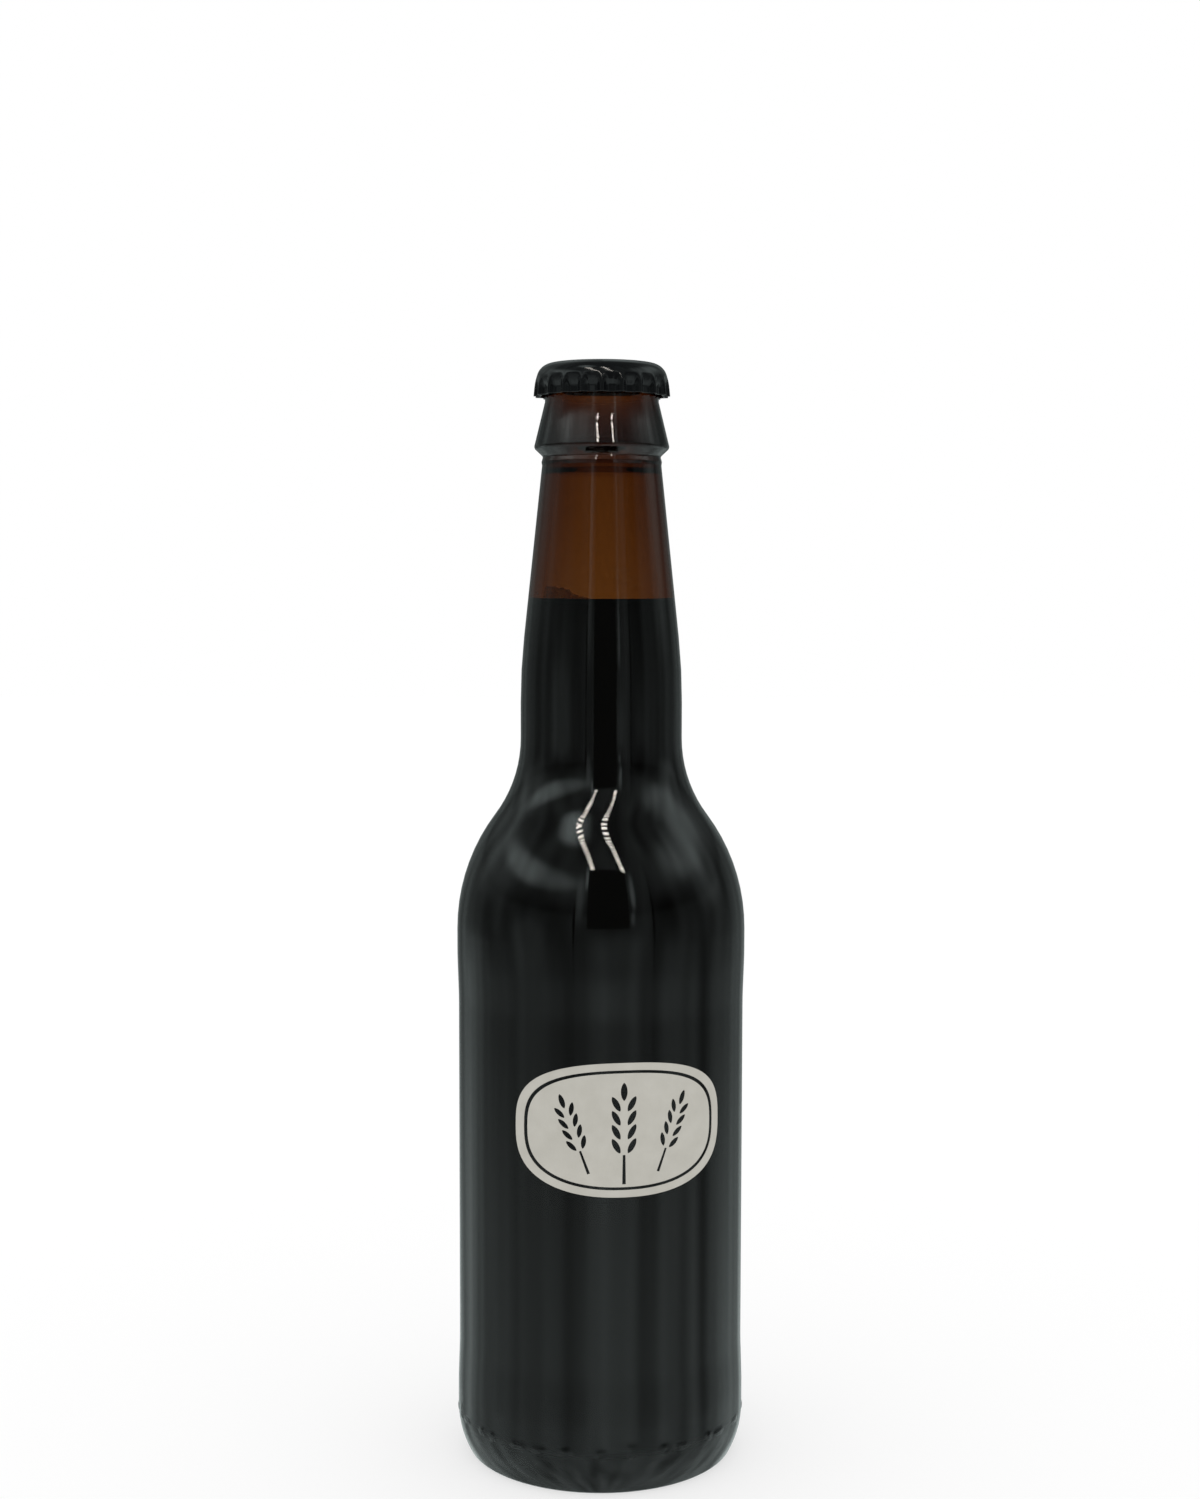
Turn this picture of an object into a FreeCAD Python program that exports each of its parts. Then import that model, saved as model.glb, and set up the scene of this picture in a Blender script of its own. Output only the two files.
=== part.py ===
"""A brown long-neck beer bottle, filled and closed with a crown cap.

The frame's origin is the centre of the ring that the bottle stands on, and +Z is its axis.
Every piece is turned about that axis, so each outline is a list of corners in its half-plane:
the distance from the axis, the height, and the radius that rounds the corner. Lengths are in mm.
"""

import FreeCAD, Part
import math
import os

# Glass, body
glass_height = 230.0  # from the standing ring to the lip
body_r = 30.5  # the two bands that touch the next bottle in a crate
panel_recess = 0.3  # the printed panel between the bands lies this much deeper
low_band_top = 15.0
high_band_height = 5.5  # straight part of the upper band, under the shoulder
band_blend = 9.0  # height over which a band runs into the panel
band_round = 90.0
heel_in = 2.6  # the standing ring's outer edge lies this far inside the bands
heel_slope_height = 4.9
heel_round = 18.0
ring_width = 3.3  # the standing ring is flat
ring_round = 1.2
push_up = 4.6  # rise of the bottom's centre above the standing ring
push_up_edge_in = 3.6  # from the ring's inner edge to the edge of the push-up
push_up_edge_z = 2.6
push_up_round = 4.0

# Glass, shoulder and neck
shoulder_z = 112.5  # where the body starts to turn in
shoulder_round = 40.0
neck_root_round = 27.2
neck_r = 17.02
neck_upright = 14.4  # from the top of the shoulder's curve to the corner of the neck's taper
neck_bend_round = 130.0
neck_top_r = 12.3

# Glass, finish: the collar under the cap and the bead that the cap grips
bead_r = 13.3
bead_drop = 2.7  # from the lip to the bead's widest line
bead_round = 0.8
groove_depth = 1.4  # how far the groove under the bead lies inside it
groove_drop = 7.0  # from the lip to the top of the collar's cone
groove_height = 1.9
groove_round = 1.2
collar_stand = 0.92  # how far the collar stands out past the bead
collar_drop = 16.5  # from the lip to the collar's edge
collar_round = 0.9
collar_foot_drop = 1.7  # from the collar's edge down to the neck
collar_foot_round = 0.6
lip_round = 2.2
mouth_round = 1.3

# Glass, inside
wall = 2.45  # of the body and shoulder
neck_wall = 2.8
bore_r = 8.3
bore_foot_drop = 17.0  # from the lip to the foot of the straight bore
bore_foot_round = 40.0
floor_t = 3.6  # glass at the bottom's centre
floor_fall = 2.6  # the inner floor falls this much from its centre to its edge
floor_round = 8.0

# Beer
fill_drop = 48.0  # from the lip to the beer's level
beer_gap = 0.1  # clearance between the beer and the glass all round

# Crown cap: thin steel with its sealing liner under the flat
steel_t = 0.3
cap_gap = 0.25  # between the bead and the skirt's plain top
cap_top_t = 0.9  # steel and liner over the lip
cap_dome = 0.3  # rise of the cap's centre over its edge
cap_edge_stand = 0.1  # how far the rounded edge stands out past the skirt's plain top
cap_edge_round = 2.7
cap_inner_round = 1.9
skirt_drop = 5.8  # from the lip to the skirt's edge
skirt_flare = 0.4  # how far the flutes' crests swing out at the skirt's edge
skirt_crimp = 0.85  # how far their valleys are pressed in under the bead
flutes = 21
flute_top_drop = 0.6  # from the lip to where the flutes fade out
flute_sections = 6
points_per_flute = 6
tool_margin = 1.0  # tool solids pass the cap by this much

# Worked out from the sizes above
panel_r = body_r - panel_recess
ring_out_r = body_r - heel_in
ring_in_r = ring_out_r - ring_width
skirt_top_r = bead_r + cap_gap + steel_t
skirt_z = glass_height - skirt_drop
cap_rim_z = glass_height + cap_top_t

os.makedirs("parts", exist_ok=True)


def corner_turn(before, corner, after):
    """Half the angle that the outline turns by at a corner."""
    return (math.pi - (before - corner).getAngle(after - corner)) / 2


def fitted_reaches(places, roundings):
    """How far each rounding reaches along its two runs, shortened where two on a run don't fit."""
    count = len(places)
    reaches = []
    for i, radius in enumerate(roundings):
        half_turn = corner_turn(places[i - 1], places[i], places[(i + 1) % count])
        reaches.append(radius * math.tan(half_turn))
    shares = [1.0] * count
    for i in range(count):
        ahead = (i + 1) % count
        wanted = reaches[i] + reaches[ahead]
        run = (places[ahead] - places[i]).Length
        if wanted > run:
            shares[i] = min(shares[i], run / wanted)
            shares[ahead] = min(shares[ahead], run / wanted)
    return [reach * share for reach, share in zip(reaches, shares)]


def rounded_corner(before, corner, after, reach):
    """The three points of the arc that rounds a corner and touches its runs at the reach."""
    back = (before - corner).normalize()
    ahead = (after - corner).normalize()
    half_turn = corner_turn(before, corner, after)
    to_middle = reach * (1 / math.sin(half_turn) - 1 / math.tan(half_turn))
    return corner + back * reach, corner + (back + ahead).normalize() * to_middle, corner + ahead * reach


def turned(corners):
    """The solid made by turning a closed outline of (r, z, rounding) corners about the axis."""
    places = [FreeCAD.Vector(r, 0, z) for r, z, _ in corners]
    reaches = fitted_reaches(places, [rounding for _, _, rounding in corners])
    edges = []
    pen = places[0]
    for i in range(1, len(places) + 1):
        corner = places[i % len(places)]
        reach = reaches[i % len(places)]
        if reach:
            start, middle, end = rounded_corner(places[i - 1], corner, places[(i + 1) % len(places)], reach)
        else:
            start = end = corner
        if not start.isEqual(pen, 1e-6):
            edges.append(Part.LineSegment(pen, start).toShape())
        if reach:
            edges.append(Part.Arc(start, middle, end).toShape())
        pen = end
    face = Part.Face(Part.Wire(edges))
    return face.revolve(FreeCAD.Vector(0, 0, 0), FreeCAD.Vector(0, 0, 1), 360)


def s_curve(foot_r, foot_round, top_r, top_round):
    """Half turn and height of the S of two touching arcs that leads from foot_r in to top_r."""
    turn = math.acos(1 - (foot_r - top_r) / (foot_round + top_round))
    return turn, (foot_round + top_round) * math.sin(turn)


def shoulder_corners(foot_r, foot_round, top_r, top_round):
    """The two corners whose roundings make the shoulder's S."""
    turn, height = s_curve(foot_r, foot_round, top_r, top_round)
    reach = math.tan(turn / 2)
    return [
        (foot_r, shoulder_z + foot_round * reach, foot_round),
        (top_r, shoulder_z + height - top_round * reach, top_round),
    ]


def neck_bend_z():
    """Where the neck's upright foot and its taper would meet."""
    return shoulder_z + s_curve(body_r, shoulder_round, neck_r, neck_root_round)[1] + neck_upright


def outside_corners():
    """The glass's outer outline, from the bottom's centre to the lip."""
    groove_r = bead_r - groove_depth
    groove_z = glass_height - groove_drop
    collar_z = glass_height - collar_drop
    high_band_foot = shoulder_z - high_band_height
    bottom = [
        (0, push_up, 0),
        (ring_in_r - push_up_edge_in, push_up_edge_z, push_up_round),
        (ring_in_r, 0, 0),
        (ring_out_r, 0, ring_round),
        (body_r, heel_slope_height, heel_round),
    ]
    panel = [
        (body_r, low_band_top, band_round),
        (panel_r, low_band_top + band_blend, band_round),
        (panel_r, high_band_foot - band_blend, band_round),
        (body_r, high_band_foot, band_round),
    ]
    neck = [
        (neck_r, neck_bend_z(), neck_bend_round),
        (neck_top_r, collar_z - collar_foot_drop, collar_foot_round),
    ]
    finish = [
        (bead_r + collar_stand, collar_z, collar_round),
        (groove_r, groove_z, 0),
        (groove_r, groove_z + groove_height, groove_round),
        (bead_r, glass_height - bead_drop, bead_round),
        (bead_r, glass_height, lip_round),
    ]
    return bottom + panel + shoulder_corners(body_r, shoulder_round, neck_r, neck_root_round) + neck + finish


def cavity_corners(inset):
    """The inner outline from the floor's centre up to the foot of the bore, drawn in by inset."""
    inner_r = panel_r - wall - inset
    inner_neck_r = neck_r - neck_wall - inset
    floor_z = push_up + floor_t + inset
    inner_shoulder_round = shoulder_round - wall - inset
    inner_root_round = neck_root_round + neck_wall + inset
    return [
        (0, floor_z, 0),
        (inner_r, floor_z - floor_fall, floor_round - inset),
        *shoulder_corners(inner_r, inner_shoulder_round, inner_neck_r, inner_root_round),
        (inner_neck_r, neck_bend_z(), neck_bend_round),
        (bore_r - inset, glass_height - bore_foot_drop, bore_foot_round),
    ]


def make_bottle():
    mouth = [(bore_r, glass_height, mouth_round)]
    return turned(outside_corners() + mouth + cavity_corners(0)[::-1])


def make_beer():
    above = [(bore_r - beer_gap, glass_height, 0), (0, glass_height, 0)]
    to_the_lip = turned(cavity_corners(beer_gap) + above)
    return to_the_lip.common(Part.makeCylinder(body_r, glass_height - fill_drop))


def fluted_ring(z, crest, valley):
    """A closed wavy curve at height z that swings between the two radii once in each flute."""
    count = flutes * points_per_flute
    ring = []
    for i in range(count):
        angle = 2 * math.pi * i / count
        r = (crest + valley) / 2 + (crest - valley) / 2 * math.cos(flutes * angle)
        ring.append(FreeCAD.Vector(r * math.cos(angle), r * math.sin(angle), z))
    curve = Part.BSplineCurve()
    curve.interpolate(Points=ring, PeriodicFlag=True)
    return Part.Wire(curve.toShape())


def fluted_solid(inset, foot_z):
    """The skirt's surface, filled: plain at the top, with flutes that deepen towards the edge."""
    plain_r = skirt_top_r - inset
    flute_top_z = glass_height - flute_top_drop
    rings = []
    if foot_z < skirt_z:
        rings.append(fluted_ring(foot_z, plain_r + skirt_flare, plain_r - skirt_crimp))
    for i in range(flute_sections):
        depth = (1 - i / (flute_sections - 1)) ** 2
        z = skirt_z + (flute_top_z - skirt_z) * i / (flute_sections - 1)
        rings.append(fluted_ring(z, plain_r + skirt_flare * depth, plain_r - skirt_crimp * depth))
    rings.append(fluted_ring(cap_rim_z + cap_dome + tool_margin, plain_r, plain_r))
    return Part.makeLoft(rings, True)


def cap_envelope(inset, rim_z, dome, rounding, foot_z):
    """The turned solid whose rounded edge closes the fluted skirt at the top, and which clears its flutes."""
    edge_r = skirt_top_r + cap_edge_stand - inset
    return turned(
        [
            (0, foot_z, 0),
            (edge_r + skirt_flare + tool_margin, foot_z, 0),
            (edge_r, rim_z, rounding),
            (0, rim_z + dome, 0),
        ]
    )


def make_cap():
    outer = cap_envelope(0, cap_rim_z, cap_dome, cap_edge_round, skirt_z - tool_margin)
    inner = cap_envelope(steel_t, glass_height, 0, cap_inner_round, skirt_z - 2 * tool_margin)
    shell = outer.common(fluted_solid(0, skirt_z))
    hollow = inner.common(fluted_solid(steel_t, skirt_z - tool_margin))
    return shell.cut(hollow)


nodes = {
    "bottle": make_bottle(),
    "beer": make_beer(),
    "crown_cap": make_cap(),
}

for name, shape in nodes.items():
    shape.exportStep(f"parts/{name}.step")
    print(name, len(shape.Solids), shape.isValid(), round(shape.Volume))
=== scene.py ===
"""The looks of a brown long-neck beer bottle: glass, dark beer with a patch of bubbles, crown cap and print."""

import math
import random

import bmesh
import bpy
from mathutils import Euler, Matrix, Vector


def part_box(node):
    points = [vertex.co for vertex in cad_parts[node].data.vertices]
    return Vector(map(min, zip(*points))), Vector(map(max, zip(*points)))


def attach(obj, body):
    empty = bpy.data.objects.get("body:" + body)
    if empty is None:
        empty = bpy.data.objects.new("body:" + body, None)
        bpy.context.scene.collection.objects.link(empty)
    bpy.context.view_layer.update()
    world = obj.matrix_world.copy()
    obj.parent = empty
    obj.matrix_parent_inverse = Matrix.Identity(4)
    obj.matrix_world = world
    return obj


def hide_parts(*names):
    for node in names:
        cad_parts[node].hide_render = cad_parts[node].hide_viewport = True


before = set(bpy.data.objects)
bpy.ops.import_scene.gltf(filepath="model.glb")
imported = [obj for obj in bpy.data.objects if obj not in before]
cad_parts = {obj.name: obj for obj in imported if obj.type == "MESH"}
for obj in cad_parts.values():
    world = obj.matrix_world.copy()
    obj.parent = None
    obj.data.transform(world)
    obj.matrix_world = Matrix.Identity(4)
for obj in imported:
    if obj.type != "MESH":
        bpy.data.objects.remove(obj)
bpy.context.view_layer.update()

MM = 0.001

# Places that the frame gives, in mm
glass_box = [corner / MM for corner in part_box("bottle")]
beer_box = [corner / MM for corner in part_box("beer")]
cap_box = [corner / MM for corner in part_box("crown_cap")]
BODY_R = glass_box[1].x
LIP_Z = glass_box[1].z
LEVEL_Z = beer_box[1].z
SKIRT_Z = cap_box[0].z
CAP_TOP_Z = cap_box[1].z

# The glass's outline, in mm, as in the frame's bottle but for SEAM_RIDGE and INNER_STEP, which are looks only
HEEL_IN = 2.6  # the standing ring's outer edge lies this far inside the bands
RING_WIDTH = 3.3
PUSH_UP = 4.6
PUSH_UP_EDGE_IN = 3.6
PUSH_UP_EDGE_Z = 2.6
PANEL_R = BODY_R - 0.3
LOW_BAND_TOP = 15.0
HIGH_BAND_FOOT = 107.0
BAND_BLEND = 9.0
BAND_ROUND = 90.0
SHOULDER_Z = 112.5
SHOULDER_ROUND = 40.0
ROOT_ROUND = 27.2
NECK_R = 17.02
NECK_BEND_Z = 167.2
NECK_BEND_ROUND = 130.0
NECK_TOP_R = 12.3
COLLAR_R = 14.22
COLLAR_DROP = 16.5  # drops are measured from the lip
COLLAR_FOOT_DROP = 18.3
SEAM_RIDGE = ((0.20, 1.8), (0.32, 1.1))  # out from the neck and down from the collar's foot
SEAM_ROUND = 0.5
GROOVE_R = 11.9
GROOVE_DROP = 7.0
GROOVE_TOP_DROP = 5.1
BEAD_R = 13.3
BEAD_DROP = 2.7
LIP_ROUND = 2.2
BORE_R = 8.3
INNER_STEP = ((9.3, 22.0), (8.55, 21.0))  # radius and drop, where the neck's glass thickens into the finish
MOUTH_REACH = 1.5
WALL = 2.45
NECK_WALL = 2.8
FLOOR_Z = 8.2
FLOOR_FALL = 2.6
FLOOR_ROUND = 8.0

# Beer, in mm
BEER_OVERLAP = 0.12  # how far it reaches into the wall, so that no air gap shows
MENISCUS = ((0, 0.1), (0.35, -0.1), (0.9, -0.25), (1.8, -0.3))  # in from the wall and up from the level
BUBBLES = 420
FOAM_START = -125  # degrees from the front towards the right
FOAM_SWEEP = 110
FOAM_HEIGHT = 2.5

# Crown cap, in mm
STEEL = 0.3
CAP_EDGE_R = 12.75
CAP_EDGE_ROUND = 3.3
SKIRT_TOP_R = 14.0
SKIRT_TOP_DROP = 2.8
SKIRT_ROUND = 12.0
SKIRT_FOOT_R = 14.3
SEAT_R = 12.78
FLUTES = 21
FLUTE_DEPTH = 1.15
FLUTE_TOP_Z = LIP_Z - 1.7
FLUTE_RISE = 2.6

# Meshes
TURNS = 320  # quads round the bottle
ARC_STEP = math.radians(4.5)
RUN_STEP = 5.0  # longest quad along a straight run, mm

# Moulded marks and print, in mm
HEEL_BAND = (6.5, 12.5)  # where the moulded marks stand
MARK_HEIGHT = 0.15
MARK_EDGE = 0.55
PRINT_AZIMUTH = 9.0  # degrees from the front towards the right
PRINT_Z = 76.0
PRINT_SIZE = (46.0, 27.4)
INK_LIFT = 0.02
INK_THICKNESS = 0.06

random.seed(7)


# ---------------------------------------------------------------- outlines

def corner_arc(before, corner, after, radius):
    """Points of the arc that rounds the corner between two straight runs."""
    back = (before - corner).normalized()
    ahead = (after - corner).normalized()
    half_turn = (math.pi - back.angle(ahead)) / 2
    if radius == 0 or half_turn < 1e-4:
        return [corner]
    reach = radius * math.tan(half_turn)
    centre = corner + (back + ahead).normalized() * (radius / math.cos(half_turn))
    first = corner + back * reach - centre
    last = corner + ahead * reach - centre
    steps = max(2, math.ceil(2 * half_turn / ARC_STEP))
    points = []
    for i in range(steps + 1):
        share = i / steps
        angle = 2 * half_turn * share
        blend_first = math.sin(2 * half_turn - angle) / math.sin(2 * half_turn)
        blend_last = math.sin(angle) / math.sin(2 * half_turn)
        points.append(centre + first * blend_first + last * blend_last)
    return points


def outline(corners, fine=(), fine_step=0.5):
    """A smooth outline through rounded (r, z, rounding) corners, with short steps where z is in fine."""
    places = [Vector((r, z)) for r, z, _ in corners]
    points = [places[0]]
    for i in range(1, len(places) - 1):
        points += corner_arc(places[i - 1], places[i], places[i + 1], corners[i][2])
    points.append(places[-1])
    smooth = [points[0]]
    for target in points[1:]:
        start = smooth[-1]
        run = (target - start).length
        if run < 1e-4:
            continue
        in_fine = fine and max(start.y, target.y) > fine[0] and min(start.y, target.y) < fine[1]
        pieces = max(1, math.ceil(run / (fine_step if in_fine else RUN_STEP)))
        smooth += [start.lerp(target, (k + 1) / pieces) for k in range(pieces)]
    return smooth


def s_corners(foot_r, foot_round, top_r, top_round):
    """The two corners whose roundings make the shoulder's S."""
    turn = math.acos(1 - (foot_r - top_r) / (foot_round + top_round))
    height = (foot_round + top_round) * math.sin(turn)
    reach = math.tan(turn / 2)
    return [
        (foot_r, SHOULDER_Z + foot_round * reach, foot_round),
        (top_r, SHOULDER_Z + height - top_round * reach, top_round),
    ]


def outer_corners():
    """The glass's outer outline from the bottom's centre to the mouth."""
    ring_out = BODY_R - HEEL_IN
    ring_in = ring_out - RING_WIDTH
    bottom = [
        (0, PUSH_UP, 0),
        (ring_in - PUSH_UP_EDGE_IN, PUSH_UP_EDGE_Z, 4.0),
        (ring_in, 0, 0.5),
        (ring_out, 0, 1.2),
        (BODY_R, 4.9, 18.0),
    ]
    panel = [
        (BODY_R, LOW_BAND_TOP, BAND_ROUND),
        (PANEL_R, LOW_BAND_TOP + BAND_BLEND, BAND_ROUND),
        (PANEL_R, HIGH_BAND_FOOT - BAND_BLEND, BAND_ROUND),
        (BODY_R, HIGH_BAND_FOOT, BAND_ROUND),
    ]
    neck = [
        (NECK_R, NECK_BEND_Z, NECK_BEND_ROUND),
        *[(NECK_TOP_R + out, LIP_Z - COLLAR_FOOT_DROP - down, SEAM_ROUND) for out, down in SEAM_RIDGE],
        (NECK_TOP_R, LIP_Z - COLLAR_FOOT_DROP, SEAM_ROUND),
    ]
    finish = [
        (COLLAR_R, LIP_Z - COLLAR_DROP, 0.9),
        (GROOVE_R, LIP_Z - GROOVE_DROP, 0),
        (GROOVE_R, LIP_Z - GROOVE_TOP_DROP, 1.2),
        (BEAD_R, LIP_Z - BEAD_DROP, 0.8),
        (BEAD_R, LIP_Z, LIP_ROUND),
        (BORE_R + MOUTH_REACH, LIP_Z, 0),
    ]
    return bottom + panel + s_corners(BODY_R, SHOULDER_ROUND, NECK_R, ROOT_ROUND) + neck + finish


def cavity_corners(outset):
    """The cavity's outline from the floor's centre to the mouth, moved out into the wall by outset."""
    inner_r = PANEL_R - WALL + outset
    neck_r = NECK_R - NECK_WALL + outset
    inner_shoulder_round = SHOULDER_ROUND - WALL + outset
    inner_root_round = ROOT_ROUND + NECK_WALL - outset
    return [
        (0, FLOOR_Z - outset, 0),
        (inner_r, FLOOR_Z - FLOOR_FALL - outset, FLOOR_ROUND),
        *s_corners(inner_r, inner_shoulder_round, neck_r, inner_root_round),
        (neck_r, NECK_BEND_Z, NECK_BEND_ROUND),
        *[(r + outset, LIP_Z - drop, 0.9) for r, drop in INNER_STEP],
        (BORE_R + outset, LIP_Z - COLLAR_DROP, 12.0),
        (BORE_R + outset, LIP_Z - 1.5, 0),
    ]


def radius_at(points, z):
    """The outline's radius at a height, on its first run that climbs past it."""
    for low, high in zip(points, points[1:]):
        if low.y <= z <= high.y and high.y > low.y:
            return low.lerp(high, (z - low.y) / (high.y - low.y)).x
    return points[-1].x


# ---------------------------------------------------------------- meshes

def new_object(name, mesh, smooth=True):
    """Puts a mesh into the scene as an object."""
    piece = bpy.data.objects.new(name, mesh)
    bpy.context.scene.collection.objects.link(piece)
    for face in mesh.polygons:
        face.use_smooth = smooth
    return piece


def around(angle, r, z):
    """The place, in metres, at a turn from the front towards the right, a radius and a height in mm."""
    return Vector((r * math.sin(angle), -r * math.cos(angle), z)) * MM


def join_rings(bm, rings, turns):
    """Faces between each ring of corners and the next; a ring of one corner closes the shape."""
    for low, high in zip(rings, rings[1:]):
        for i in range(turns):
            j = (i + 1) % turns
            corners = [low[i % len(low)], low[j % len(low)],
                       high[j % len(high)], high[i % len(high)]]
            unique = []
            for corner in corners:
                if corner not in unique:
                    unique.append(corner)
            if len(unique) > 2:
                bm.faces.new(unique)


def turned_mesh(name, points, turns=TURNS, shift=None):
    """A mesh turned from (r, z) points in mm; shift(angle, r, z) may move a point along the radius."""
    mesh = bpy.data.meshes.new(name)
    bm = bmesh.new()
    rings = []
    for point in points:
        if point.x < 1e-6:
            rings.append([bm.verts.new((0, 0, point.y * MM))])
            continue
        ring = []
        for i in range(turns):
            angle = 2 * math.pi * i / turns
            r = point.x + (shift(angle, point.x, point.y) if shift else 0)
            ring.append(bm.verts.new(around(angle, r, point.y)))
        rings.append(ring)
    join_rings(bm, rings, turns)
    bmesh.ops.recalc_face_normals(bm, faces=bm.faces)
    bm.to_mesh(mesh)
    bm.free()
    return mesh


# ---------------------------------------------------------------- materials

def material(name):
    """An empty material with a Principled shader on its output."""
    made = bpy.data.materials.new(name)
    made.use_nodes = True
    nodes = made.node_tree.nodes
    nodes.clear()
    output = nodes.new("ShaderNodeOutputMaterial")
    shader = nodes.new("ShaderNodeBsdfPrincipled")
    made.node_tree.links.new(shader.outputs["BSDF"], output.inputs["Surface"])
    return made, nodes, made.node_tree.links, shader, output


def noise(nodes, links, scale, detail=4.0, stretch=(1, 1, 1)):
    """A noise texture in object space; stretch squeezes it along an axis."""
    place = nodes.new("ShaderNodeTexCoord")
    mapping = nodes.new("ShaderNodeMapping")
    mapping.inputs["Scale"].default_value = stretch
    texture = nodes.new("ShaderNodeTexNoise")
    texture.inputs["Scale"].default_value = scale
    texture.inputs["Detail"].default_value = detail
    links.new(place.outputs["Object"], mapping.inputs["Vector"])
    links.new(mapping.outputs["Vector"], texture.inputs["Vector"])
    return texture


def bump(nodes, links, height, strength, distance, shader):
    """Fine relief from a height socket."""
    relief = nodes.new("ShaderNodeBump")
    relief.inputs["Strength"].default_value = strength
    relief.inputs["Distance"].default_value = distance
    links.new(height, relief.inputs["Height"])
    links.new(relief.outputs["Normal"], shader.inputs["Normal"])


def ramp(nodes, links, value, low, high, low_colour, high_colour):
    """A colour that goes from one to the other as the value goes from low to high."""
    fade = nodes.new("ShaderNodeMapRange")
    fade.inputs["From Min"].default_value = low
    fade.inputs["From Max"].default_value = high
    links.new(value, fade.inputs["Value"])
    mix = nodes.new("ShaderNodeMix")
    mix.data_type = "RGBA"
    mix.inputs["A"].default_value = (*low_colour, 1)
    mix.inputs["B"].default_value = (*high_colour, 1)
    links.new(fade.outputs["Result"], mix.inputs["Factor"])
    return mix.outputs["Result"]


def spread(nodes, links, value, low, high):
    """Maps a 0 to 1 value to a narrow range, for roughness."""
    fade = nodes.new("ShaderNodeMapRange")
    fade.inputs["To Min"].default_value = low
    fade.inputs["To Max"].default_value = high
    links.new(value, fade.inputs["Value"])
    return fade.outputs["Result"]


def amber_glass():
    """Clear glass whose brown comes from its thickness."""
    made, nodes, links, shader, output = material("amber_glass")
    shader.inputs["Base Color"].default_value = (1, 1, 1, 1)
    shader.inputs["Transmission Weight"].default_value = 1.0
    shader.inputs["IOR"].default_value = 1.5
    cloud = noise(nodes, links, 45, 3)
    links.new(spread(nodes, links, cloud.outputs["Fac"], 0.0, 0.03), shader.inputs["Roughness"])
    waves = noise(nodes, links, 60, 1, (1, 1, 0.3))
    bump(nodes, links, waves.outputs["Fac"], 0.12, 0.0002, shader)
    depth = nodes.new("ShaderNodeVolumeAbsorption")
    depth.inputs["Color"].default_value = (0.58, 0.39, 0.05, 1)
    depth.inputs["Density"].default_value = 1000
    links.new(depth.outputs["Volume"], output.inputs["Volume"])
    return made


def dark_beer():
    """Near-black stout behind the glass."""
    made, nodes, links, shader, _ = material("dark_beer")
    cloud = noise(nodes, links, 30, 3)
    colour = ramp(nodes, links, cloud.outputs["Fac"], 0.3, 0.7,
                  (0.0012, 0.0012, 0.0012), (0.0022, 0.002, 0.0018))
    links.new(colour, shader.inputs["Base Color"])
    links.new(spread(nodes, links, cloud.outputs["Fac"], 0.25, 0.4), shader.inputs["Roughness"])
    shader.inputs["Specular IOR Level"].default_value = 0.02
    return made


def beer_surface():
    """The stout's still surface."""
    made, nodes, links, shader, _ = material("beer_surface")
    cloud = noise(nodes, links, 200, 3)
    colour = ramp(nodes, links, cloud.outputs["Fac"], 0.3, 0.7,
                  (0.004, 0.002, 0.001), (0.012, 0.006, 0.003))
    links.new(colour, shader.inputs["Base Color"])
    links.new(spread(nodes, links, cloud.outputs["Fac"], 0.04, 0.1), shader.inputs["Roughness"])
    shader.inputs["IOR"].default_value = 1.34
    return made


def foam():
    """Pale tan bubbles."""
    made, nodes, links, shader, _ = material("foam")
    cloud = noise(nodes, links, 700, 3)
    colour = ramp(nodes, links, cloud.outputs["Fac"], 0.35, 0.65, (0.8, 0.6, 0.4), (0.98, 0.93, 0.85))
    links.new(colour, shader.inputs["Base Color"])
    links.new(spread(nodes, links, cloud.outputs["Fac"], 0.15, 0.35), shader.inputs["Roughness"])
    shader.inputs["Transmission Weight"].default_value = 0.1
    shader.inputs["IOR"].default_value = 1.2
    return made


def pale_ink():
    """Off-white screen-printed ink."""
    made, nodes, links, shader, _ = material("pale_ink")
    cloud = noise(nodes, links, 260, 5)
    colour = ramp(nodes, links, cloud.outputs["Fac"], 0.3, 0.7,
                  (0.475, 0.46, 0.41), (0.52, 0.505, 0.455))
    links.new(colour, shader.inputs["Base Color"])
    links.new(spread(nodes, links, cloud.outputs["Fac"], 0.42, 0.6), shader.inputs["Roughness"])
    shader.inputs["Specular IOR Level"].default_value = 0.3
    screen = noise(nodes, links, 2600, 2)
    bump(nodes, links, screen.outputs["Fac"], 0.1, 0.00004, shader)
    return made


def black_lacquer():
    """Glossy black lacquer on pressed steel."""
    made, nodes, links, shader, _ = material("black_lacquer")
    cloud = noise(nodes, links, 120, 4)
    colour = ramp(nodes, links, cloud.outputs["Fac"], 0.3, 0.7,
                  (0.002, 0.0022, 0.0024), (0.004, 0.0045, 0.005))
    links.new(colour, shader.inputs["Base Color"])
    links.new(spread(nodes, links, cloud.outputs["Fac"], 0.05, 0.14), shader.inputs["Roughness"])
    shader.inputs["Specular IOR Level"].default_value = 0.27
    shader.inputs["Coat Weight"].default_value = 0.2
    shader.inputs["Coat Roughness"].default_value = 0.06
    dents = noise(nodes, links, 260, 2)
    bump(nodes, links, dents.outputs["Fac"], 0.2, 0.0003, shader)
    return made


# ---------------------------------------------------------------- bottle and beer

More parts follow.
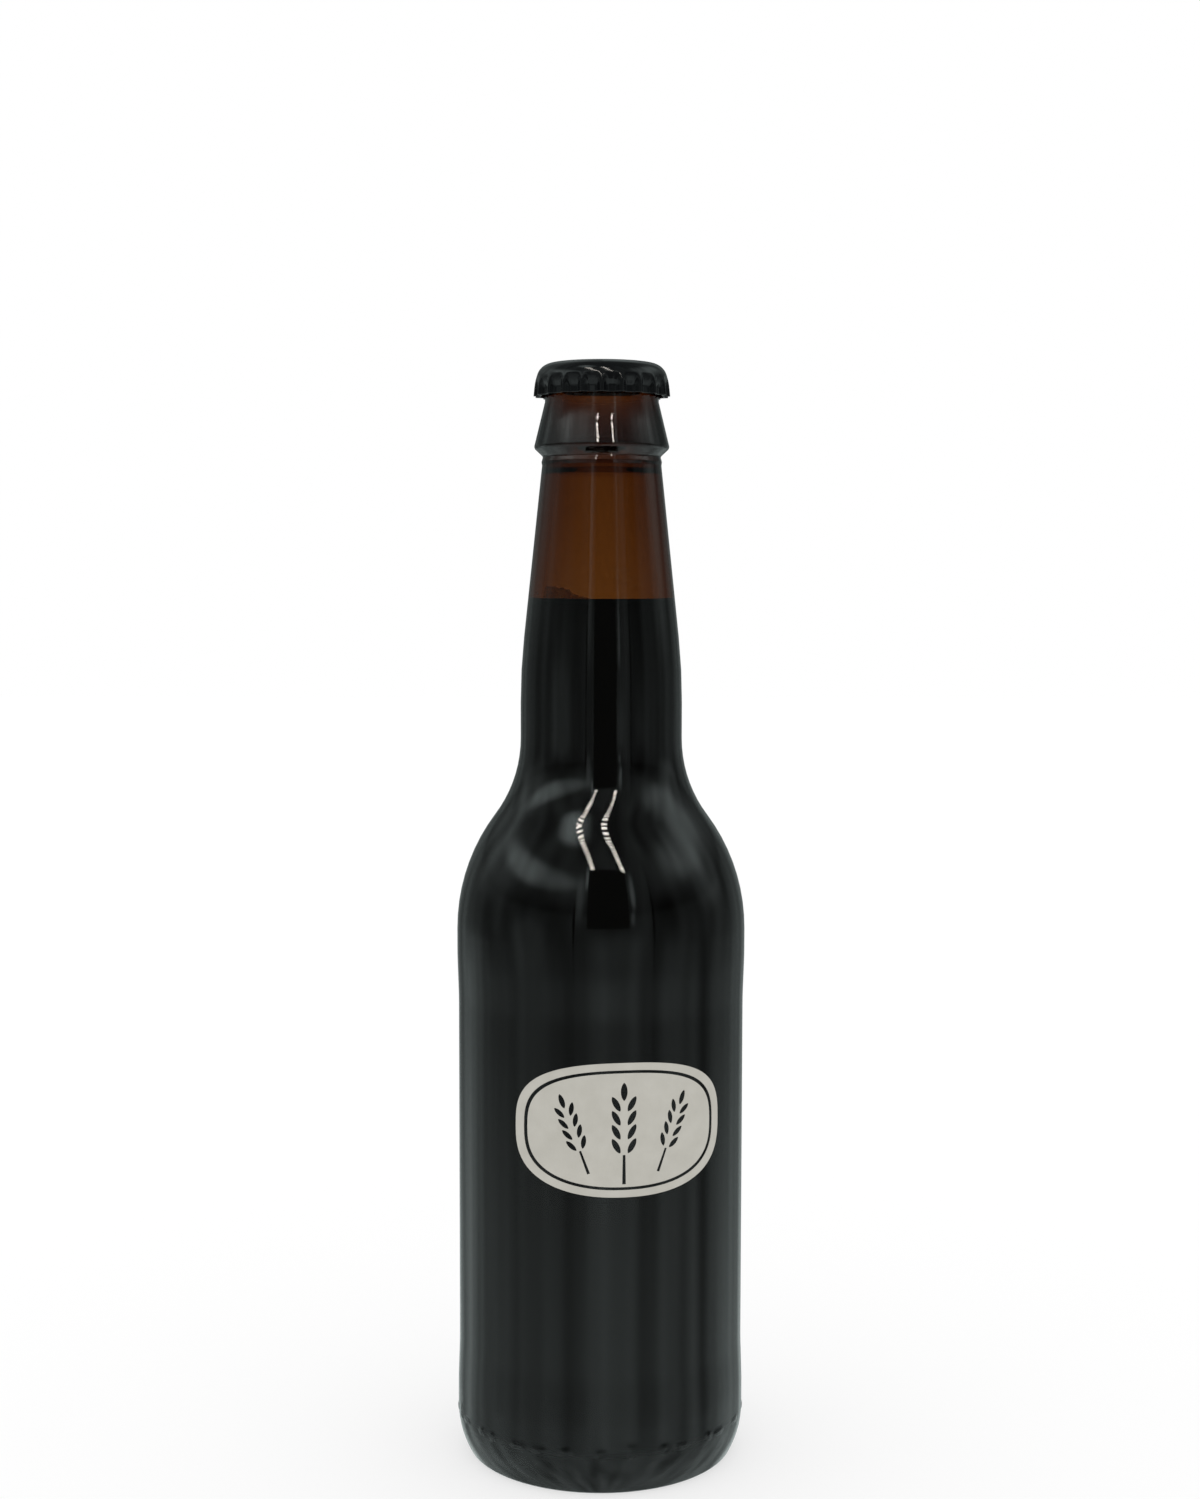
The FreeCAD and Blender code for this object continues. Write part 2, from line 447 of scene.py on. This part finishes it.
def heel_marks():
    """Centres (arc length, z), half sizes and heights of the small moulded marks round the heel, in mm."""
    marks = []
    reach = math.pi * BODY_R
    along = -reach + 2
    while along < reach - 3:
        kind = random.random()
        if kind < 0.4:
            marks.append((along, 9.3 + random.uniform(-0.2, 0.2), 0.45, 0.45))
        elif kind < 0.75:
            marks.append((along, 9.2, 1.1, 0.25))
        else:
            marks.append((along, 9.6, 0.25, 1.1))
        along += random.uniform(3.2, 9.0)
    return marks


def heel_relief(marks):
    """A radial shift in mm that raises the marks out of the heel."""
    def shift(angle, r, z):
        if not HEEL_BAND[0] < z < HEEL_BAND[1] or r < BODY_R - 1.5:
            return 0.0
        along = (angle if angle < math.pi else angle - 2 * math.pi) * BODY_R
        rise = 0.0
        for middle, middle_z, half_along, half_up in marks:
            if abs(along - middle) > 2.5:
                continue
            gap_along = max(0.0, abs(along - middle) - half_along)
            gap_up = max(0.0, abs(z - middle_z) - half_up)
            gap = math.hypot(gap_along, gap_up)
            if gap < MARK_EDGE:
                rise = max(rise, 0.5 + 0.5 * math.cos(math.pi * gap / MARK_EDGE))
        return MARK_HEIGHT * rise
    return shift


def make_bottle():
    """The glass, outside and inside in one closed mesh."""
    outer = outline(outer_corners(), fine=HEEL_BAND, fine_step=0.45)
    inner = outline(cavity_corners(0))
    mesh = turned_mesh("bottle_glass", outer + inner[::-1], shift=heel_relief(heel_marks()))
    glass = new_object("bottle_glass", mesh)
    glass.data.materials.append(amber_glass())
    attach(glass, "root")
    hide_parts("bottle")


def make_beer():
    """The stout, which reaches just into the wall, with a meniscus round its surface."""
    into_wall = outline(cavity_corners(BEER_OVERLAP))
    wall = [point for point in into_wall if point.y < LEVEL_Z]
    rim_r = radius_at(into_wall, LEVEL_Z)
    surface = [Vector((rim_r - inward, LEVEL_Z + rise)) for inward, rise in MENISCUS]
    surface += [Vector((4.0, surface[-1].y)), Vector((0, surface[-1].y))]
    mesh = turned_mesh("stout_beer", wall + surface, turns=180)
    mesh.materials.append(dark_beer())
    mesh.materials.append(beer_surface())
    for face in mesh.polygons:
        if face.center.z > (LEVEL_Z - 0.5) * MM and face.normal.z > 0.15:
            face.material_index = 1
    beer = new_object("stout_beer", mesh)
    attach(beer, "root")
    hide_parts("beer")


def make_bubbles():
    """A raft of foam bubbles that clings to the wall on the left of the surface."""
    bm = bmesh.new()
    wall = outline(cavity_corners(0))
    for _ in range(BUBBLES):
        share = random.random()
        azimuth = math.radians(FOAM_START + FOAM_SWEEP * share)
        height = FOAM_HEIGHT * min(1.0, (1 - share) * 3.6)
        up = random.random()
        size = random.uniform(0.3, 0.75)
        z = LEVEL_Z - 0.75 + size * 0.5 + up * height
        r = radius_at(wall, z) - size - random.uniform(-0.06, 1.6)
        ball = bmesh.ops.create_icosphere(bm, subdivisions=2, radius=size * MM)
        place = around(azimuth, r, z)
        squash = random.uniform(0.8, 1.0)
        for vert in ball["verts"]:
            vert.co.z *= squash
            vert.co += place
    mesh = bpy.data.meshes.new("foam_bubbles")
    bm.to_mesh(mesh)
    bm.free()
    bubbles = new_object("foam_bubbles", mesh)
    bubbles.data.materials.append(foam())
    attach(bubbles, "root")


# ---------------------------------------------------------------- crown cap

def flute_depth(z):
    """How far the skirt is pressed in between its flutes: nothing under the rounded edge, most at its foot."""
    share = max(0.0, min(1.0, (FLUTE_TOP_Z - z) / FLUTE_RISE))
    return FLUTE_DEPTH * share ** 1.4


def flute_wave(angle):
    """1 on a flute's narrow crest and 0 in the wide valley beside it."""
    return (0.5 + 0.5 * math.cos(FLUTES * angle)) ** 3


def cap_ring(bm, point, angles):
    """A ring of corners at an outline point, pressed in between the flutes."""
    if point.x < 1e-6:
        return [bm.verts.new((0, 0, point.y * MM))]
    ring = []
    for angle in angles:
        r = point.x - flute_depth(point.y) * (1 - flute_wave(angle))
        ring.append(bm.verts.new(around(angle, r, point.y)))
    return ring


def make_cap():
    """Pressed steel with a rounded edge, 21 flutes and a thin hem, closed over its liner."""
    corners = [(0, CAP_TOP_Z, 0), (CAP_EDGE_R, CAP_TOP_Z - 0.25, CAP_EDGE_ROUND),
               (SKIRT_TOP_R, LIP_Z - SKIRT_TOP_DROP, SKIRT_ROUND), (SKIRT_FOOT_R, SKIRT_Z, 0)]
    outer = outline(corners, fine=(SKIRT_Z, LIP_Z - 1.5), fine_step=0.25)
    hem = [Vector((SKIRT_FOOT_R - STEEL, SKIRT_Z))]
    skirt = [Vector((point.x - STEEL, point.y)) for point in reversed(outer)
             if SKIRT_Z + 0.1 < point.y < LIP_Z - 1.8]
    seat = outline([(BEAD_R + 0.1, LIP_Z - 1.7, 0), (SEAT_R, LIP_Z, 2.0), (0, LIP_Z, 0)])
    bm = bmesh.new()
    turns = FLUTES * 24
    angles = [2 * math.pi * (i + 0.5) / turns for i in range(turns)]
    join_rings(bm, [cap_ring(bm, point, angles) for point in outer + hem + skirt + seat], turns)
    bmesh.ops.recalc_face_normals(bm, faces=bm.faces)
    mesh = bpy.data.meshes.new("crown_cap_steel")
    bm.to_mesh(mesh)
    bm.free()
    cap = new_object("crown_cap_steel", mesh)
    cap.data.materials.append(black_lacquer())
    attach(cap, "root")
    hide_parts("crown_cap")


# ---------------------------------------------------------------- printed badge

def badge_outline(inset):
    """A wide oval badge with full, softly squared sides, in mm, pulled in by inset."""
    half_w, half_h = PRINT_SIZE[0] / 2 - inset * 1.35, PRINT_SIZE[1] / 2 - inset
    points = []
    steps = 96
    for i in range(steps):
        angle = 2 * math.pi * i / steps
        c, s = math.cos(angle), math.sin(angle)
        points.append((half_w * math.copysign(abs(c) ** 0.86, c), half_h * math.copysign(abs(s) ** 0.72, s)))
    return points


def grain(x, y, length, width, tilt):
    """A pointed barley grain's outline."""
    points = []
    steps = 20
    for i in range(steps):
        angle = 2 * math.pi * i / steps
        along = math.cos(angle) * length / 2
        across = math.sin(angle) * abs(math.sin(angle)) ** 0.4 * width / 2
        points.append((x + along * math.cos(tilt) - across * math.sin(tilt),
                       y + along * math.sin(tilt) + across * math.cos(tilt)))
    return points


def barley_ear(x, y, lean, scale):
    """The cut-outs of one ear: a stem, pairs of grains and a top grain."""
    up = math.pi / 2 + lean

    def at(along, across):
        along, across = along * scale, across * scale
        return (x + along * math.cos(up) - across * math.sin(up),
                y + along * math.sin(up) + across * math.cos(up))

    shapes = []
    for i in range(4):
        for side in (-1, 1):
            shapes.append(grain(*at(i * 3.1, side * 1.75), 3.7 * scale, 1.35 * scale, up + side * 0.5))
    shapes.append(grain(*at(12.0, 0), 4.0 * scale, 1.5 * scale, up))
    shapes.append([at(-8.5, -0.4), at(-8.5, 0.4), at(-2.0, 0.3), at(-2.0, -0.3)])
    return shapes


def badge_shapes():
    """Closed outlines in mm that the drawing fills in turn: ink, line and cut-outs."""
    shapes = [badge_outline(0), badge_outline(1.5), badge_outline(2.1)]
    shapes += barley_ear(0, -3.2, 0, 0.92)
    shapes += barley_ear(-9.4, -2.8, 0.36, 0.76)
    shapes += barley_ear(9.4, -2.8, -0.36, 0.76)
    return shapes


def flat_drawing(shapes):
    """A flat mesh in mm, filled between the outlines."""
    drawing = bpy.data.curves.new("badge_drawing", "CURVE")
    drawing.dimensions = "2D"
    drawing.fill_mode = "BOTH"
    for shape in shapes:
        spline = drawing.splines.new("POLY")
        spline.points.add(len(shape) - 1)
        for point, (x, y) in zip(spline.points, shape):
            point.co = (x, y, 0, 1)
        spline.use_cyclic_u = True
    flat = bpy.data.objects.new("badge_drawing", drawing)
    bpy.context.scene.collection.objects.link(flat)
    bpy.context.view_layer.update()
    mesh = bpy.data.meshes.new_from_object(flat.evaluated_get(bpy.context.evaluated_depsgraph_get()))
    bpy.data.objects.remove(flat)
    return mesh


def make_print():
    """One colour of ink on the glass, cut into upright slices and wrapped round the panel."""
    bm = bmesh.new()
    bm.from_mesh(flat_drawing(badge_shapes()))
    bmesh.ops.remove_doubles(bm, verts=bm.verts, dist=1e-4)
    half = int(PRINT_SIZE[0] / 2)
    for step in range(-half, half + 1):
        bmesh.ops.bisect_plane(bm, geom=bm.verts[:] + bm.edges[:] + bm.faces[:],
                               plane_co=(step, 0, 0), plane_no=(1, 0, 0))
    for vert in bm.verts:
        vert.co.z = 0
    grown = bmesh.ops.extrude_face_region(bm, geom=bm.faces[:])
    for item in grown["geom"]:
        if isinstance(item, bmesh.types.BMVert):
            item.co.z = INK_THICKNESS
    for vert in bm.verts:
        angle = math.radians(PRINT_AZIMUTH) + vert.co.x / PANEL_R
        vert.co = around(angle, PANEL_R + INK_LIFT + vert.co.z, PRINT_Z + vert.co.y)
    bmesh.ops.recalc_face_normals(bm, faces=bm.faces)
    wrapped = bpy.data.meshes.new("badge_print")
    bm.to_mesh(wrapped)
    bm.free()
    ink = new_object("badge_print", wrapped, smooth=False)
    ink.data.materials.append(pale_ink())
    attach(ink, "root")


make_bottle()
make_beer()
make_bubbles()
make_cap()
make_print()


# ---------------------------------------------------------------- stage, light and camera

def math_node(nodes, links, operation, first, second=None):
    """A Math node's result; each value is a number or a socket."""
    node = nodes.new("ShaderNodeMath")
    node.operation = operation
    for socket, value in zip(node.inputs, (first, second)):
        if value is None:
            continue
        if isinstance(value, (int, float)):
            socket.default_value = value
        else:
            links.new(value, socket)
    return node.outputs["Value"]


SKY_TILT = 1.5  # degrees that the tent's pattern sits above the level


def sky_angles(nodes, links):
    """Azimuth from the front towards the right and elevation of a direction, in degrees."""
    place = nodes.new("ShaderNodeTexCoord")
    split = nodes.new("ShaderNodeSeparateXYZ")
    links.new(place.outputs["Generated"], split.inputs["Vector"])
    front = math_node(nodes, links, "MULTIPLY", split.outputs["Y"], -1.0)
    azimuth = math_node(nodes, links, "ARCTAN2", split.outputs["X"], front)
    elevation = math_node(nodes, links, "DEGREES", math_node(nodes, links, "ARCSINE", split.outputs["Z"]))
    return (math_node(nodes, links, "DEGREES", azimuth),
            math_node(nodes, links, "SUBTRACT", elevation, SKY_TILT))


def soft_patch(nodes, links, angles, middle, reach, level):
    """A bright or dark patch with soft edges: level at its middle, fading over reach."""
    squares = []
    for angle, mid, wide in zip(angles, middle, reach):
        gap = math_node(nodes, links, "SUBTRACT", angle, mid)
        share = math_node(nodes, links, "DIVIDE", gap, wide)
        squares.append(math_node(nodes, links, "MULTIPLY", share, share))
    total = math_node(nodes, links, "ADD", squares[0], squares[1])
    sharp = math_node(nodes, links, "MULTIPLY", total, total)
    fall = math_node(nodes, links, "EXPONENT", math_node(nodes, links, "MULTIPLY", sharp, -1.0))
    return math_node(nodes, links, "MULTIPLY", fall, level)


# What the glass reflects: middle and reach (azimuth, elevation) in degrees, and level
SKY_PATCHES = [
    ((-67, 28), (42, 6.5), 0.9),
    ((-42, 58), (24, 8), 1.2),
    ((95, 33), (34, 12.5), 0.68),
    ((104, 14), (20, 10), 0.2),
    ((-110, 22), (30, 16), 0.2),
    ((27, 23), (2.2, 10), 0.8),
    ((25.5, 7), (1.8, 4), 0.35),
    ((180, 52), (38, 20), 0.35),
    ((-180, 52), (38, 20), 0.35),
    ((-12.5, 32), (1.6, 7), 0.8),
    ((-18, 20), (4, 14), 0.22),
    ((-60, -5), (14, 10), 0.14),
    ((-115, -16), (25, 7), 0.18),
    ((38, 15), (5, 18), 0.08),
    ((-21.5, 8), (0.9, 24), -0.16),
    ((42.5, 8), (0.9, 26), -0.14),
    ((55, 8), (9, 14), -0.06),
    ((-42, 6), (10, 14), -0.05),
    ((10, -7), (28, 4.5), 0.06),
    ((5, -21), (18, 6), 0.1),
]
# The tent's level (second) by elevation (first)
SKY_HEIGHTS = [(-30, 0.60), (-23, 0.50), (-18, 0.40), (-13.5, 0.27), (-8, 0.20), (8, 0.155),
               (11, 0.10), (14, 0.12), (22, 0.2), (40, 0.22), (62, 0.13), (90, 0.09)]
FOLD_WIDTH = 19.0  # degrees
FOLD_HEIGHT = 34.0


def tent_folds(nodes, links, angles):
    """Uneven upright folds in the tent's cloth, as a factor round 1."""
    place = nodes.new("ShaderNodeCombineXYZ")
    links.new(math_node(nodes, links, "DIVIDE", angles[0], FOLD_WIDTH), place.inputs["X"])
    links.new(math_node(nodes, links, "DIVIDE", angles[1], FOLD_HEIGHT), place.inputs["Y"])
    cloth = nodes.new("ShaderNodeTexNoise")
    cloth.inputs["Scale"].default_value = 1.0
    cloth.inputs["Detail"].default_value = 1.0
    links.new(place.outputs["Vector"], cloth.inputs["Vector"])
    return spread(nodes, links, cloth.outputs["Fac"], 0.0, 2.0)


def make_world():
    """White to the camera and through glass, and a soft tent of light in the glass's reflections."""
    world = bpy.data.worlds.new("tent")
    bpy.context.scene.world = world
    world.use_nodes = True
    nodes, links = world.node_tree.nodes, world.node_tree.links
    nodes.clear()
    angles = sky_angles(nodes, links)
    lowest, highest = SKY_HEIGHTS[0][0], SKY_HEIGHTS[-1][0]
    climb = math_node(nodes, links, "SUBTRACT", angles[1], lowest)
    share = math_node(nodes, links, "DIVIDE", climb, highest - lowest)
    heights = nodes.new("ShaderNodeValToRGB")
    links.new(share, heights.inputs["Fac"])
    stops = heights.color_ramp.elements
    while len(stops) < len(SKY_HEIGHTS):
        stops.new(0.5)
    for stop, (elevation, level) in zip(stops, SKY_HEIGHTS):
        stop.position = (elevation - lowest) / (highest - lowest)
        stop.color = (level, level, level, 1)
    total = heights.outputs["Color"]
    for middle, reach, level in SKY_PATCHES:
        total = math_node(nodes, links, "ADD", total, soft_patch(nodes, links, angles, middle, reach, level))
    total = math_node(nodes, links, "MULTIPLY", total, tent_folds(nodes, links, angles))
    total = math_node(nodes, links, "MAXIMUM", total, 0.02)
    tent = nodes.new("ShaderNodeBackground")
    tent.inputs["Color"].default_value = (0.88, 1.0, 0.985, 1)
    links.new(total, tent.inputs["Strength"])
    white = nodes.new("ShaderNodeBackground")
    white.inputs["Color"].default_value = (1, 1, 1, 1)
    white.inputs["Strength"].default_value = 1.0
    path = nodes.new("ShaderNodeLightPath")
    mix = nodes.new("ShaderNodeMixShader")
    reflected = math_node(nodes, links, "SUBTRACT",
                          path.outputs["Is Glossy Ray"], path.outputs["Is Transmission Ray"])
    reflected = math_node(nodes, links, "MAXIMUM", reflected, 0.0)
    links.new(reflected, mix.inputs["Fac"])
    links.new(white.outputs["Background"], mix.inputs[1])
    links.new(tent.outputs["Background"], mix.inputs[2])
    output = nodes.new("ShaderNodeOutputWorld")
    links.new(mix.outputs["Shader"], output.inputs["Surface"])


def only_in_reflections(card):
    """A card that shows in reflections alone, and neither lights nor shades anything else."""
    card.visible_camera = False
    card.visible_diffuse = False
    card.visible_transmission = False
    card.visible_shadow = False


def card_material(name, colour, strength):
    """Plain emission for a card."""
    made = bpy.data.materials.new(name)
    made.use_nodes = True
    nodes = made.node_tree.nodes
    nodes.clear()
    glow = nodes.new("ShaderNodeEmission")
    glow.inputs["Color"].default_value = (*colour, 1)
    glow.inputs["Strength"].default_value = strength
    output = nodes.new("ShaderNodeOutputMaterial")
    made.node_tree.links.new(glow.outputs["Emission"], output.inputs["Surface"])
    return made


SLIT_SIDES = (-32, 68, 125, 252)  # left, right, foot and top in mm
SLIT_Y = -180


def make_dark_slit():
    """The dark opening in the front of the tent."""
    left, right, low, high = [side * MM for side in SLIT_SIDES]
    y = SLIT_Y * MM
    mesh = bpy.data.meshes.new("tent_slit")
    corners = [(left, y, low), (right, y, low), (right, y, high), (left, y, high)]
    mesh.from_pydata(corners, [], [(0, 1, 2, 3)])
    slit = new_object("tent_slit", mesh, smooth=False)
    slit.data.materials.append(card_material("tent_slit", (0.9, 1.0, 0.95), 0.055))
    only_in_reflections(slit)


STRIP_Z = 462  # mm
STRIP_ENDS = (((-54, -470), (-112, -170)), ((170, -450), (6, -176)))  # (x, y) at the front and behind
LAMP_HALF_WIDTH = 15
DENSE_SHARE = 0.18  # of each strip, at its front end, where the lamps sit close
DENSE_LAMPS = 12
LAMPS = 16  # over the rest


def make_light_strips():
    """Two strips of small lamps under the tent's roof."""
    shares = [DENSE_SHARE * i / DENSE_LAMPS for i in range(DENSE_LAMPS)]
    shares += [DENSE_SHARE + (1 - DENSE_SHARE) * i / (LAMPS - 1) for i in range(LAMPS)]
    verts, faces = [], []
    for ends in STRIP_ENDS:
        first, last = Vector(ends[0]), Vector(ends[1])
        for share in shares:
            middle = first.lerp(last, share)
            start = len(verts)
            wide = LAMP_HALF_WIDTH
            deep = 1.4 if share < DENSE_SHARE else 3.6
            for dx, dy in ((-wide, -deep), (wide, -deep), (wide, deep), (-wide, deep)):
                verts.append(((middle.x + dx) * MM, (middle.y + dy) * MM, STRIP_Z * MM))
            faces.append((start + 3, start + 2, start + 1, start))
    mesh = bpy.data.meshes.new("light_strips")
    mesh.from_pydata(verts, [], faces)
    strips = new_object("light_strips", mesh, smooth=False)
    strips.data.materials.append(card_material("light_strips", (1.0, 0.93, 0.85), 24.0))
    only_in_reflections(strips)


FLOOR_HALF = 3.0  # metres
FLOOR_GREY = 0.4
FLOOR_GLOW = 0.61  # added to the grey's own light, so that the floor comes out white


def make_floor():
    """A white floor that keeps the bottle's soft shadow."""
    mesh = bpy.data.meshes.new("floor")
    half = FLOOR_HALF
    corners = [(-half, -half, 0), (half, -half, 0), (half, half, 0), (-half, half, 0)]
    mesh.from_pydata(corners, [], [(0, 1, 2, 3)])
    floor = new_object("floor", mesh, smooth=False)
    made, nodes, links, shader, output = material("floor_white")
    shader.inputs["Base Color"].default_value = (FLOOR_GREY, FLOOR_GREY, FLOOR_GREY, 1)
    shader.inputs["Roughness"].default_value = 0.9
    shader.inputs["Specular IOR Level"].default_value = 0.0
    glow = nodes.new("ShaderNodeEmission")
    glow.inputs["Strength"].default_value = FLOOR_GLOW
    add = nodes.new("ShaderNodeAddShader")
    links.new(shader.outputs["BSDF"], add.inputs[0])
    links.new(glow.outputs["Emission"], add.inputs[1])
    links.new(add.outputs["Shader"], output.inputs["Surface"])
    floor.data.materials.append(made)
    floor.visible_glossy = False


CAMERA_PLACE = (0, -0.462, 0.186)  # metres
CAMERA_LENS = 52.61  # mm
CAMERA_DOWN = 4.42  # degrees below the level
CAMERA_ROLL = -0.1
CAMERA_YAW = 0.04


def make_camera():
    """In front of the bottle, about as high as the beer's surface, and turned down a little."""
    lens = bpy.data.cameras.new("camera")
    lens.sensor_fit = "AUTO"
    lens.sensor_width = 36.0
    lens.lens = CAMERA_LENS
    camera = bpy.data.objects.new("camera", lens)
    bpy.context.scene.collection.objects.link(camera)
    camera.location = CAMERA_PLACE
    turn = [math.radians(angle) for angle in (90 - CAMERA_DOWN, CAMERA_ROLL, CAMERA_YAW)]
    camera.rotation_euler = Euler(turn, "XYZ")
    bpy.context.scene.camera = camera


make_world()
make_floor()
make_dark_slit()
make_light_strips()
make_camera()
bpy.context.scene.view_settings.view_transform = "Standard"
